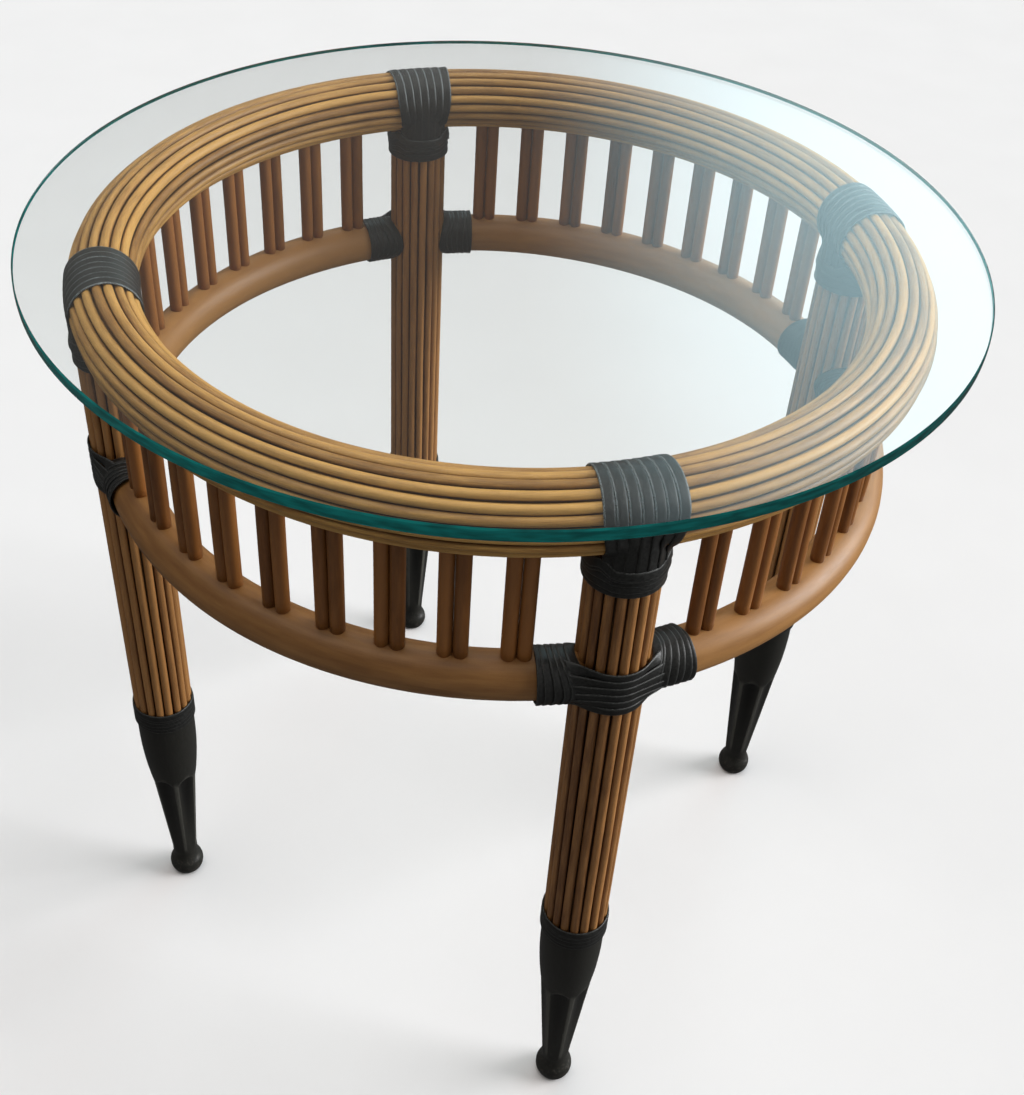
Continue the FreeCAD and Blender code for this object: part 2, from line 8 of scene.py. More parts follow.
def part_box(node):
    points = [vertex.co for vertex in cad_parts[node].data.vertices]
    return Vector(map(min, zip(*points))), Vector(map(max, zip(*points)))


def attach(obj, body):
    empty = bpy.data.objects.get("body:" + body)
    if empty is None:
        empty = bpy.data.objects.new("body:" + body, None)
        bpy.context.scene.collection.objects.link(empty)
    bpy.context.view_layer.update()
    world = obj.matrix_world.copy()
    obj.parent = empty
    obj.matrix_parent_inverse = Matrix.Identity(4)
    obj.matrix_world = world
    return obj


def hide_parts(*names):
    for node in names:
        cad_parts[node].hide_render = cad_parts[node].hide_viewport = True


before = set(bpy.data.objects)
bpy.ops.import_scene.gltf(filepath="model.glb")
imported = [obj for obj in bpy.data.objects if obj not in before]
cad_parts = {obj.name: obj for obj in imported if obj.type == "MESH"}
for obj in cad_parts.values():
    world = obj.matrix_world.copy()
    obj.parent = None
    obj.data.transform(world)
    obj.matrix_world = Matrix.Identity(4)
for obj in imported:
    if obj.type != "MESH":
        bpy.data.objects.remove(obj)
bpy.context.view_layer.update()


# Ring core: a rattan pole steamed and bent to a full circle, its ends scarfed together.
# It carries the canes, the reeds and the glass, and shows only as a narrow strip from below.
core_low, core_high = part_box("ring_core")
ring_height = (core_low.z + core_high.z) / 2
core_radius = (core_high.z - core_low.z) / 2
ring_radius = core_high.x - core_radius


def add_node(tree, kind, inputs=None, **settings):
    """A shader node; each input is a plain value or another node's output."""
    made = tree.nodes.new(kind)
    for key, setting in settings.items():
        setattr(made, key, setting)
    for key, given in (inputs or {}).items():
        if isinstance(given, bpy.types.NodeSocket):
            tree.links.new(given, made.inputs[key])
        else:
            made.inputs[key].default_value = given
    return made


def calculate(tree, operation, first, second=0.0, third=0.0):
    """One step of arithmetic on values."""
    inputs = {0: first, 1: second, 2: third}
    return add_node(tree, "ShaderNodeMath", inputs, operation=operation).outputs[0]


def spread(tree, given, low, high, to_low=0.0, to_high=1.0):
    """Stretches the part of a value between low and high over a new range, with soft ends."""
    inputs = {"Value": given, "From Min": low, "From Max": high, "To Min": to_low, "To Max": to_high}
    return add_node(tree, "ShaderNodeMapRange", inputs, interpolation_type="SMOOTHSTEP").outputs[0]


def blend_colours(tree, share, first, second):
    """The first colour where the share is 0 and the second where it is 1."""
    inputs = {0: share, 6: first, 7: second}
    return add_node(tree, "ShaderNodeMix", inputs, data_type="RGBA").outputs[2]


def noise(tree, place, stretch, detail=2.0):
    """Noise over a place in metres; stretch gives how many features fit in a metre along each axis."""
    scaled = add_node(tree, "ShaderNodeVectorMath", {0: place, 1: stretch}, operation="MULTIPLY")
    return add_node(tree, "ShaderNodeTexNoise", {"Vector": scaled.outputs[0], "Detail": detail}).outputs[0]


def new_material(name):
    """A material, its node tree and its shader."""
    material = bpy.data.materials.new(name)
    material.use_nodes = True
    return material, material.node_tree, material.node_tree.nodes["Principled BSDF"]


def add_relief(tree, shader, height, strength, depth):
    """Relief that is too fine for the mesh."""
    inputs = {"Height": height, "Strength": strength, "Distance": depth}
    bump = add_node(tree, "ShaderNodeBump", inputs)
    tree.links.new(bump.outputs["Normal"], shader.inputs["Normal"])


# Fibre of peeled rattan under a thin lacquer: long streaks, short dark pores and a slow drift of tone.
# A tone far below zero stands for a groove between two reeds, which is painted darker there as painted
# shade.
noise_middle = 0.5
drift_strength = 0.9
tone_strength = 0.4
plain_level = 0.55
groove_shade_colour = (0.016, 0.007, 0.003, 1.0)
groove_shade_share = 0.8
pore_stain = (0.012, 0.006, 0.003, 1.0)
pore_stain_share = 0.72
pore_strength = 0.5
pore_roughness = 0.2
fibre_depth = 0.0004
fibre_inputs = {"Place": "Vector", "Pale": "Color", "Deep": "Color", "Tone": "Float", "Streaks": "Float"}
fibre_outputs = {"Colour": "Color", "Roughness": "Float", "Height": "Float"}
fibre = bpy.data.node_groups.new("rattan_fibre", "ShaderNodeTree")
for socket, kind in fibre_inputs.items():
    fibre.interface.new_socket(socket, in_out="INPUT", socket_type=f"NodeSocket{kind}")
for socket, kind in fibre_outputs.items():
    fibre.interface.new_socket(socket, in_out="OUTPUT", socket_type=f"NodeSocket{kind}")
fibre_in = add_node(fibre, "NodeGroupInput").outputs
fibre_out = add_node(fibre, "NodeGroupOutput").inputs
streak = noise(fibre, fibre_in["Place"], stretch=(16.0, 900.0, 900.0), detail=4.0)
pore = spread(fibre, noise(fibre, fibre_in["Place"], stretch=(110.0, 2600.0, 2600.0)), 0.60, 0.72)
drift = noise(fibre, fibre_in["Place"], stretch=(5.0, 40.0, 40.0))
streak_swing = calculate(fibre, "SUBTRACT", streak, noise_middle)
streak_push = calculate(fibre, "MULTIPLY", streak_swing, fibre_in["Streaks"])
drift_swing = calculate(fibre, "SUBTRACT", drift, noise_middle)
drift_push = calculate(fibre, "MULTIPLY_ADD", drift_swing, drift_strength, streak_push)
tone_push = calculate(fibre, "MULTIPLY_ADD", fibre_in["Tone"], tone_strength, drift_push)
paleness = spread(fibre, calculate(fibre, "ADD", tone_push, plain_level), 0.0, 1.0)
body_colour = blend_colours(fibre, paleness, fibre_in["Deep"], fibre_in["Pale"])
# Painted shade: the grooves between reeds are darkened towards near black-brown.
groove_shade = spread(fibre, fibre_in["Tone"], -1.0, -2.6, to_high=groove_shade_share)
body_colour = blend_colours(fibre, groove_shade, body_colour, groove_shade_colour)
pore_colour = blend_colours(fibre, pore_stain_share, fibre_in["Deep"], pore_stain)
pore_share = calculate(fibre, "MULTIPLY", pore, pore_strength)
fibre.links.new(blend_colours(fibre, pore_share, body_colour, pore_colour), fibre_out["Colour"])
streak_roughness = spread(fibre, streak, 0.3, 0.7, to_low=0.36, to_high=0.52)
fibre_roughness = calculate(fibre, "MULTIPLY_ADD", pore, pore_roughness, streak_roughness)
fibre.links.new(fibre_roughness, fibre_out["Roughness"])
fibre.links.new(calculate(fibre, "SUBTRACT", streak, pore), fibre_out["Height"])


def rattan(name, pale, deep, streaks, relief, coordinates="UV"):
    """Lacquered rattan in two tones, with the fibre group and the tone kept in each strand's corners."""
    material, tree, shader = new_material(name)
    place = add_node(tree, "ShaderNodeTexCoord").outputs[coordinates]
    tone = add_node(tree, "ShaderNodeAttribute", attribute_name="tone").outputs["Fac"]
    look = {"Place": place, "Pale": pale, "Deep": deep, "Tone": tone, "Streaks": streaks}
    strand = add_node(tree, "ShaderNodeGroup", look, node_tree=fibre).outputs
    tree.links.new(strand["Colour"], shader.inputs["Base Color"])
    tree.links.new(strand["Roughness"], shader.inputs["Roughness"])
    add_relief(tree, shader, strand["Height"], relief, fibre_depth)
    shader.inputs["Specular IOR Level"].default_value = 0.35
    shader.inputs["Coat Weight"].default_value = 0.06
    shader.inputs["Coat Roughness"].default_value = 0.3
    return material


def finish_nodes(material, *names):
    """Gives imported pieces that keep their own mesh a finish."""
    for name in names:
        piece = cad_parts[name]
        piece.data.materials.clear()
        piece.data.materials.append(material)


core_rattan = rattan(
    "bent_pole_rattan",
    pale=(0.36, 0.19, 0.075, 1.0),
    deep=(0.18, 0.085, 0.03, 1.0),
    streaks=0.8,
    relief=0.3,
    coordinates="Object",
)
finish_nodes(core_rattan, "ring_core")


# Leg cores: four straight rattan poles, tenoned up into the ring and socketed for the feet.
# They are hidden under the reeds, and are left as sawn and sanded pole.
legs = {"right": 0.0, "back": 90.0, "left": 180.0, "front": 270.0}
finish_nodes(core_rattan, *[f"leg_core_{leg}" for leg in legs])


# Rail dowels: plain beech pins that tie two rail ends together through each leg.
# They are glued in and can't be seen once the rails are on.
dowel_wood = rattan(
    "dowel_beech",
    pale=(0.62, 0.46, 0.29, 1.0),
    deep=(0.45, 0.30, 0.17, 1.0),
    streaks=0.5,
    relief=0.2,
    coordinates="Object",
)
finish_nodes(dowel_wood, "rail_dowels")


# Lower rail: four smooth bent poles, one between each two legs, butted to the legs and doweled.
# Sanded rattan with its skin taken off, stained honey brown and lacquered to a satin shine. The back-left
# pole is painted paler and the left-front one darker, as painted light and shade.
bays = {"right_back": 0.0, "back_left": 90.0, "left_front": 180.0, "front_right": 270.0}
# Painted light and shade: a paler tone on the back-left pole and a darker one on the left-front pole.
rail_light_and_shade_tones = {"right_back": 0.4, "back_left": 0.9, "left_front": -0.4, "front_right": 0.4}
quarter = math.pi / 2
upward = Vector((0, 0, 1))
rail_low, rail_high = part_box("rail_right_back")
rail_height = (rail_low.z + rail_high.z) / 2
rail_radius = (rail_high.z - rail_low.z) / 2
rail_bury = 0.017
rail_ends = rail_bury / ring_radius
rail_steps = 72
rail_sides = 32
rail_unevenness = 0.00022
rail_wave = 9.0
grain_range = 9.0
chance = random.Random(41)


def any_angle():
    return chance.uniform(0.0, 2 * math.pi)


def grain_place():
    """A place of its own on the grain for each strand, along and across."""
    return chance.uniform(0.0, grain_range), chance.uniform(0.0, grain_range)


def on_circle(radius, angle, height):
    return Vector((radius * math.cos(angle), radius * math.sin(angle), height))


def direction_at(points, index):
    """The way a line of points runs at one of them."""
    ahead = points[min(index + 1, len(points) - 1)]
    behind = points[max(index - 1, 0)]
    return (ahead - behind).normalized()


def tube_rings(points, reference, radii, sides):
    """Round sections along a line of points, with the distance round each section."""
    rings = []
    for index, point in enumerate(points):
        tangent = direction_at(points, index)
        side = tangent.cross(reference).normalized()
        rise = side.cross(tangent)
        ring = []
        for step in range(sides):
            swing = 2 * math.pi * step / sides
            ring.append(point + (side * math.cos(swing) - rise * math.sin(swing)) * radii[index])
        rings.append(ring)
    around = [2 * math.pi * radii[0] * step / sides for step in range(sides + 1)]
    return rings, around


def even_tone(rings, tone):
    """The same tone at every corner."""
    return [tone] * (len(rings) * len(rings[0]))


def add_object(name, made):
    """A new object in the scene from a mesh, a light or a lens."""
    piece = bpy.data.objects.new(name, made)
    bpy.context.scene.collection.objects.link(piece)
    return piece


def add_piece(name, strands, material, slot, *nodes):
    """One object from strands, each a run of sections with a grain place and a tone for each corner."""
    corners, faces, rounded, grain, tones = [], [], [], [], []
    for rings, across, (grain_along, grain_across), corner_tones in strands:
        first = len(corners)
        count = len(rings[0])
        run = [grain_along]
        for before, after in zip(rings, rings[1:]):
            run.append(run[-1] + (after[0] - before[0]).length)
        for ring in rings:
            corners.extend(ring)
        tones.extend(corner_tones)
        for row in range(len(rings) - 1):
            here = first + row * count
            ahead = here + count
            for column in range(count):
                beside = (column + 1) % count
                faces.append((here + column, here + beside, ahead + beside, ahead + column))
                near = across[column] + grain_across
                far = across[column + 1] + grain_across
                grain.extend((run[row], near, run[row], far, run[row + 1], far, run[row + 1], near))
                rounded.append(True)
        last = first + (len(rings) - 1) * count
        first_cap = range(first + count - 1, first - 1, -1)
        last_cap = range(last, last + count)
        for cap, distance in ((first_cap, run[0]), (last_cap, run[-1])):
            faces.append(tuple(cap))
            for corner in cap:
                grain.extend((distance, across[(corner - first) % count] + grain_across))
            rounded.append(False)
    mesh = bpy.data.meshes.new(name)
    mesh.from_pydata(corners, [], faces)
    mesh.uv_layers.new(name="grain").data.foreach_set("uv", grain)
    mesh.attributes.new("tone", "FLOAT", "POINT").data.foreach_set("value", tones)
    mesh.polygons.foreach_set("use_smooth", rounded)
    mesh.materials.append(material)
    mesh.update()
    piece = add_object(name, mesh)
    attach(piece, "frame")
    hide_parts(*nodes)


rail_rattan = rattan(
    "rail_rattan",
    pale=(0.40, 0.195, 0.062, 1.0),
    deep=(0.21, 0.090, 0.025, 1.0),
    streaks=0.5,
    relief=0.16,
)
for bay, start in bays.items():
    points = []
    radii = []
    phase = any_angle()
    for step in range(rail_steps + 1):
        share = step / rail_steps
        angle = math.radians(start) + rail_ends + (quarter - 2 * rail_ends) * share
        points.append(on_circle(ring_radius, angle, rail_height))
        radii.append(rail_radius + rail_unevenness * math.sin(phase + rail_wave * share))
    rings, around = tube_rings(points, upward, radii, rail_sides)
    strand = (rings, around, grain_place(), even_tone(rings, rail_light_and_shade_tones[bay]))
    add_piece(f"lower_rail_{bay}", [strand], rail_rattan, "rattan_pole", f"rail_{bay}")


# Spindle canes: thin whole canes set upright in touching pairs, nine pairs between two legs.
# Their ends are coped to the rail and the ring core, glued and pinned; stained a browner tone,
# which differs from cane to cane.
# Painted light and shade: the canes at the back get a paler tone than those at the front.
cane_light_and_shade_tones = {"right_back": 0.5, "back_left": 0.7, "left_front": 0.1, "front_right": 0.1}
tone_range = 0.7
cane_radius = 0.0045
pair_count = 9
pair_clearance = 0.00115
cane_sides = 14
cane_steps = 10
cane_sink = 0.0025
cane_lean = 0.0006
cane_bow = 0.0005
cane_foot = rail_height + rail_radius - cane_sink
cane_head = ring_height - core_radius + cane_sink
stub_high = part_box("rail_binding_right_back_start")[1]
stub_finish = math.atan2(stub_high.y, ring_radius) * ring_radius
first_pair = (stub_finish + pair_clearance + 2 * cane_radius) / ring_radius
pair_step = (quarter - 2 * first_pair) / (pair_count - 1)
cane_rattan = rattan(
    "cane_rattan",
    pale=(0.31, 0.120, 0.028, 1.0),
    deep=(0.135, 0.047, 0.010, 1.0),
    streaks=0.9,
    relief=0.25,
)
for bay, start in bays.items():
    strands = []
    for pair in range(pair_count):
        middle = math.radians(start) + first_pair + pair * pair_step
        lean = chance.uniform(-cane_lean, cane_lean)
        bow = chance.uniform(-cane_bow, cane_bow)
        for aside in (-1, 1):
            angle = middle + aside * cane_radius / ring_radius
            outward = on_circle(1.0, angle, 0.0)
            points = []
            for step in range(cane_steps + 1):
                share = step / cane_steps
                shift = lean * (share - 0.5) + bow * math.sin(math.pi * share)
                base = on_circle(ring_radius, angle, cane_foot + (cane_head - cane_foot) * share)
                points.append(base + outward * shift)
            rings, around = tube_rings(points, outward, [cane_radius] * len(points), cane_sides)
            place = grain_place()
            tone = cane_light_and_shade_tones[bay] + chance.uniform(-tone_range, tone_range)
            strands.append((rings, around, place, even_tone(rings, tone)))
    add_piece(f"spindle_canes_{bay}", strands, cane_rattan, "rattan_cane", f"spindles_{bay}")


# Ring reeds: pencil reeds laid along the ring side by side, leaving a bare strip where the canes enter.
# Round rattan core, pinned at the legs under the bindings, stained golden and lacquered.
reed_radius = 0.00305
thinnest_reed = 0.96
reed_step = 20.0
bare_angle = 30.0
reeds_on_ring = 16
reed_sides = 12
ring_reed_steps = 60
reed_sway = 0.00022
slow_sway = 21.0
quick_sway = 47.0
quick_share = 0.4
reed_end_gap = 0.00015
reed_ends = reed_end_gap / ring_radius
# Painted shade: how far the tone drops in the grooves between reeds, and how high up the reed it reaches.
groove_shade_depth = 2.9
groove_shade_reach = 0.46
pole_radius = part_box("ring_reeds_right_back")[1].x - ring_radius
reed_circle = pole_radius - reed_radius
reed_rattan = rattan(
    "reed_rattan",
    pale=(0.58, 0.318, 0.088, 1.0),
    deep=(0.205, 0.092, 0.021, 1.0),
    streaks=1.1,
    relief=0.35,
)


def sway(distance, phases):
    """A slow wander that keeps a reed from looking drawn with a ruler."""
    slow = math.sin(distance * slow_sway + phases[0])
    quick = math.sin(distance * quick_sway + phases[1])
    return reed_sway * ((1.0 - quick_share) * slow + quick_share * quick)


def ease(low, high, given):
    """0 below low, 1 above high, and a soft rise between."""
    share = min(max((given - low) / (high - low), 0.0), 1.0)
    return share * share * (3.0 - 2.0 * share)


def tone_with_groove_shade(rings, axis_points, tone):
    """A reed's tone at each corner, far darker down in the grooves on both sides of it: painted shade."""
    tones = []
    for ring, axis_point in zip(rings, axis_points):
        for corner in ring:
            crown = ((corner - axis_point).length - reed_circle) / reed_radius
            tones.append(tone - groove_shade_depth * (1.0 - ease(0.0, groove_shade_reach, crown)))
    return tones


for bay, start in bays.items():
    strands = []
    for index in range(reeds_on_ring):
        lay = math.radians(bare_angle + index * reed_step)
        radius = reed_radius * chance.uniform(thinnest_reed, 1.0)
        phases = (any_angle(), any_angle())
        points = []
        axis_points = []
        for step in range(ring_reed_steps + 1):
            turn = reed_ends + (quarter - 2 * reed_ends) * step / ring_reed_steps
            angle = math.radians(start) + turn
            swung = lay + sway(turn * ring_radius, phases) / reed_circle
            out = ring_radius + reed_circle * math.sin(swung)
            points.append(on_circle(out, angle, ring_height - reed_circle * math.cos(swung)))
            axis_points.append(on_circle(ring_radius, angle, ring_height))
        rings, around = tube_rings(points, upward, [radius] * len(points), reed_sides)
        place = grain_place()
        tone = chance.uniform(-tone_range, tone_range)
        strands.append((rings, around, place, tone_with_groove_shade(rings, axis_points, tone)))
    add_piece(f"laid_reeds_{bay}", strands, reed_rattan, "rattan_reed", f"ring_reeds_{bay}")


# Leg reeds: the same pencil reeds laid down each leg, from under the ring to the foot.
# Tacked at both ends, cut to the round of the ring above and square on the foot below.
# Stained browner than the ring, some reeds more than others; the back and left legs are painted paler
# and the front one darker, as painted light and shade.
leg_light_and_shade_tones = {"right": 0.2, "back": 0.9, "left": 0.6, "front": -0.1}
reeds_on_leg = 18
leg_reed_steps = 36
reed_cut_gap = 0.0006
foot_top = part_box("leg_reeds_right")[0].z
leg_rattan = rattan(
    "leg_reed_rattan",
    pale=(0.42, 0.195, 0.060, 1.0),
    deep=(0.13, 0.050, 0.015, 1.0),
    streaks=1.1,
    relief=0.35,
)


def leg_directions(angle):
    """Level directions at a leg, out from the middle of the table and to the side."""
    outward = on_circle(1.0, math.radians(angle), 0.0)
    return outward, Vector((-outward.y, outward.x, 0.0))


for leg, angle in legs.items():
    outward, beside = leg_directions(angle)
    strands = []
    for index in range(reeds_on_leg):
        lay = 2 * math.pi * index / reeds_on_leg
        radius = reed_radius * chance.uniform(thinnest_reed, 1.0)
        phases = (any_angle(), any_angle())
        nearest = max(abs(reed_circle * math.cos(lay)) - reed_radius, 0.0)
        head = ring_height - math.sqrt(pole_radius**2 - nearest**2) - reed_cut_gap
        points = []
        axis_points = []
        for step in range(leg_reed_steps + 1):
            height = foot_top + (head - foot_top) * step / leg_reed_steps
            swung = lay + sway(height, phases) / reed_circle
            out = outward * (ring_radius + reed_circle * math.cos(swung))
            spot = out + beside * reed_circle * math.sin(swung)
            points.append(Vector((spot.x, spot.y, height)))
            axis_points.append(outward * ring_radius + upward * height)
        rings, around = tube_rings(points, outward, [radius] * len(points), reed_sides)
        place = grain_place()
        tone = leg_light_and_shade_tones[leg] + chance.uniform(-tone_range, tone_range)
        strands.append((rings, around, place, tone_with_groove_shade(rings, axis_points, tone)))
    add_piece(f"leg_pencil_reeds_{leg}", strands, leg_rattan, "rattan_reed", f"leg_reeds_{leg}")


# Feet: hardwood turned to a smooth collar, a fluted taper, a hollow neck and a bun, tenoned into the leg.
# Sprayed satin black, with painted shade in the flutes, rubbed lacquer with a painted highlight on the
# ridges and arch rims, and scuffs round the bun laid on strongly enough to paint its highlight too.
flute_count = 6
flute_columns = 24
flute_depth = 0.0028
flute_low_depth = 0.0009
flute_half = math.radians(25.0)
flute_lip = 0.999
flute_shoulder = 0.118
flute_arch = 0.0095
flute_run_in = 0.005
flute_start = 0.024
flute_full = 0.036
rim_width = 0.0016
neck_height = 0.026
taper_top = 0.128
foot_set_in = 0.0006
foot_turns = {"right": 0.0, "back": 0.0, "left": 0.0, "front": 0.5}
rub_top = 0.03
rub_full = 0.002
low_scuff_and_highlight_share = 0.7
high_rub_share = 0.06
rubbed_roughness = 0.3
lacquer_deep = (0.0125, 0.0122, 0.0100, 1.0)
lacquer_pale = (0.024, 0.0235, 0.0200, 1.0)
flute_painted_shade = (0.0035, 0.0035, 0.003, 1.0)
ridge_rub_and_highlight_grey = (0.105, 0.102, 0.088, 1.0)
scuffed_wood_and_highlight = (0.10, 0.085, 0.07, 1.0)

black_lacquer, tree, shader = new_material("foot_black_lacquer")
place = add_node(tree, "ShaderNodeTexCoord").outputs["Object"]
height = add_node(tree, "ShaderNodeSeparateXYZ", {0: place}).outputs["Z"]
highlight_and_shade_tone = add_node(tree, "ShaderNodeAttribute", attribute_name="tone").outputs["Fac"]
grain_line = noise(tree, place, stretch=(420.0, 420.0, 30.0), detail=4.0)
scuff = spread(tree, noise(tree, place, stretch=(120.0, 120.0, 90.0), detail=5.0), 0.52, 0.70)
# Scuffs, strongest round the bun, where they also paint the bun's highlight.
low_scuff_and_highlight = spread(tree, height, rub_top, rub_full)
scuff_and_highlight_share = calculate(tree, "MULTIPLY_ADD", low_scuff_and_highlight, low_scuff_and_highlight_share, high_rub_share)
scuff_and_highlight = calculate(tree, "MULTIPLY", scuff, scuff_and_highlight_share)
bared = spread(tree, grain_line, 0.2, 0.8, to_low=0.35, to_high=0.85)
# Painted highlight with rubbed lacquer on the ridges and along the arch rims.
ridge_rub_and_highlight = calculate(tree, "MULTIPLY", spread(tree, highlight_and_shade_tone, 0.0, 1.0), bared)
lacquer = blend_colours(tree, grain_line, lacquer_deep, lacquer_pale)
# Painted shade: the flutes are darkened towards black.
lacquer = blend_colours(tree, spread(tree, highlight_and_shade_tone, 0.0, -0.9), lacquer, flute_painted_shade)
lacquer = blend_colours(tree, ridge_rub_and_highlight, lacquer, ridge_rub_and_highlight_grey)
tree.links.new(blend_colours(tree, scuff_and_highlight, lacquer, scuffed_wood_and_highlight), shader.inputs["Base Color"])
satin = spread(tree, grain_line, 0.25, 0.75, to_low=0.30, to_high=0.42)
lacquer_roughness = calculate(tree, "MULTIPLY_ADD", scuff_and_highlight, rubbed_roughness, satin)
tree.links.new(lacquer_roughness, shader.inputs["Roughness"])
add_relief(tree, shader, grain_line, strength=0.12, depth=0.0003)

# Corners of the turning: radius, height, radius of the curve to the next (hollow below 0) and its steps.
foot_corners = (
    (0.0098, 0.0, 0.0, 2),
    (0.0112, 0.0008, 0.0135, 14),
    (0.0124, 0.0138, -0.018, 10),
    (0.010, neck_height, 0.0, 40),
    (0.0171, 0.1143, 0.0, 30),
    (0.0182, taper_top, 0.36, 16),
    (pole_radius - foot_set_in, foot_top, 0.0, 0),
)
foot_outline = []
for (radius, height, curve, steps), (next_radius, next_height, *_) in zip(foot_corners, foot_corners[1:]):
    chord = Vector((next_radius - radius, next_height - height))
    away = Vector((chord.y, -chord.x)).normalized()
    for step in range(steps):
        swell = 0.0
        if curve:
            along = (step / steps - 0.5) * chord.length
            swell = math.sqrt(curve**2 - along**2) - math.sqrt(curve**2 - (chord.length / 2) ** 2)
        spot = Vector((radius, height)) + chord * (step / steps)
        foot_outline.append(spot + away * math.copysign(swell, curve))
foot_outline.append(Vector(foot_corners[-1][:2]))


def flute_cut(about, height):
    """How deep the flutes are cut at a place, and how much rubbed lacquer with painted highlight (above 0)
    or painted shade (below 0) it gets.
    """
    step = 2 * math.pi / flute_count
    across = ((about / step + 0.5) % 1.0 - 0.5) * step / flute_half
    low = ease(flute_start, flute_full, height)
    if abs(across) >= flute_lip:
        return 0.0, low * (1.0 - ease(flute_shoulder, taper_top, height))
    arch = flute_shoulder + flute_arch * math.sqrt(1.0 - across**2)
    under = arch - height
    if under <= 0.0:
        return 0.0, 1.0 - ease(0.0, rim_width, -under)
    run_in = 1.0 - (1.0 - min(under / flute_run_in, 1.0)) ** 2
    hollow = low * run_in * (1.0 - across**2)
    share = (height - neck_height) / (flute_shoulder - neck_height)
    share = min(max(share, 0.0), 1.0)
    return hollow * (flute_low_depth + (flute_depth - flute_low_depth) * share), -hollow * share


foot_sides = flute_count * flute_columns
for leg, angle in legs.items():
    outward, beside = leg_directions(angle)
    turned = foot_turns[leg] * 2 * math.pi / flute_count
    rings = []
    tones = []
    for radius, height in foot_outline:
        ring = []
        for column in range(foot_sides):
            swing = 2 * math.pi * column / foot_sides
            cut, tone = flute_cut(swing - turned, height)
            out = outward * math.cos(swing) + beside * math.sin(swing)
            ring.append(outward * ring_radius + out * (radius - cut) + upward * height)
            tones.append(tone)
        rings.append(ring)
    around = [2 * math.pi * pole_radius * column / foot_sides for column in range(foot_sides + 1)]
    strand = (rings, around, (0.0, 0.0), tones)
    add_piece(f"turned_foot_{leg}", [strand], black_lacquer, "black_foot", f"foot_{leg}")


# Rail bindings: a flat strip of black leather wound round each rail end, hard against the leg.
# The first turn follows the seam between rail and leg, each turn laps the one before, and the cut
# ends are drawn in under the turns.
strip_half = 0.0029
strip_thickness = 0.0009
strip_tilt = math.radians(10.0)
strip_section = (
    (-1.0, 0.0),
    (-0.98, 0.60),
    (-0.86, 0.92),
    (-0.45, 1.0),
    (0.45, 1.0),
    (0.86, 0.92),
    (0.98, 0.60),
    (1.0, 0.0),
)
lay_gap = 0.0002
wind_steps = 48
wind_sway = 0.0004
wander_pace = 0.7
drawn_share = 0.05
drawn_width = 0.25
rail_turns = 7
lift_start = -0.1
lift_full = 0.4
hide_deep = (0.009, 0.009, 0.0085, 1.0)
hide_pale = (0.021, 0.021, 0.0195, 1.0)
glint_fade = 0.012


def strip_leather(name, glints_in_metre, glint_share, glint_floor, glint_colour):
    """Waxed black hide, creased, with pale glints painted along the strips' edges above the glint floor as
    painted highlights.
    """
    material, tree, shader = new_material(name)
    coordinates = add_node(tree, "ShaderNodeTexCoord").outputs
    across = add_node(tree, "ShaderNodeSeparateXYZ", {0: coordinates["UV"]}).outputs["Y"]
    height = add_node(tree, "ShaderNodeSeparateXYZ", {0: coordinates["Object"]}).outputs["Z"]
    hide_grain = noise(tree, coordinates["Object"], stretch=(1100.0, 1100.0, 1100.0), detail=3.0)
    crease = noise(tree, coordinates["Object"], stretch=(170.0, 170.0, 170.0), detail=4.0)
    edge = spread(tree, calculate(tree, "ABSOLUTE", across), 0.66, 0.80)
    glint = spread(tree, noise(tree, coordinates["UV"], stretch=(glints_in_metre, 2.0, 1.0)), 0.51, 0.55)
    glints_shown = spread(tree, height, glint_floor, glint_floor + glint_fade, to_high=glint_share)
    # Painted highlight: pale glints along the strips' edges.
    edge_glints = calculate(tree, "MULTIPLY", calculate(tree, "MULTIPLY", edge, glint), glints_shown)
    hide = blend_colours(tree, spread(tree, crease, 0.35, 0.65), hide_deep, hide_pale)
    waxed = spread(tree, crease, 0.3, 0.7, to_low=0.33, to_high=0.50)
    tree.links.new(blend_colours(tree, edge_glints, hide, glint_colour), shader.inputs["Base Color"])
    tree.links.new(waxed, shader.inputs["Roughness"])
    add_relief(tree, shader, hide_grain, strength=0.2, depth=0.0004)
    shader.inputs["Specular IOR Level"].default_value = 0.4
    return material


# Dim painted glints along the edges of the wound and banded strips.
leather = strip_leather(
    "black_leather_strip",
    glints_in_metre=300.0,
    glint_share=0.5,
    glint_floor=0.0,
    glint_colour=(0.12, 0.125, 0.12, 1.0),
)


def strip_rings(points, outs, half_width, tilt, drawn=0.0):
    """Sections of a flat strip with a soft crown, tilted to lap its neighbour; drawn ends run narrow."""
    rings = []
    for index, point in enumerate(points):
        tangent = direction_at(points, index)
        side = tangent.cross(outs[index]).normalized()
        out = side.cross(tangent)
        leaned_out = out * math.cos(tilt) + side * math.sin(tilt)
        leaned_side = side * math.cos(tilt) - out * math.sin(tilt)
        share = index / (len(points) - 1)
        width = half_width
        if drawn:
            width *= drawn_width + (1.0 - drawn_width) * ease(0.0, drawn, min(share, 1.0 - share))
        base = point + out * width * math.sin(abs(tilt))
        ring = []
        for aside, above in strip_section:
            ring.append(base + leaned_side * width * aside + leaned_out * strip_thickness * above)
        rings.append(ring)
    across = [aside for aside, above in strip_section] + [strip_section[0][0]]
    return rings, across


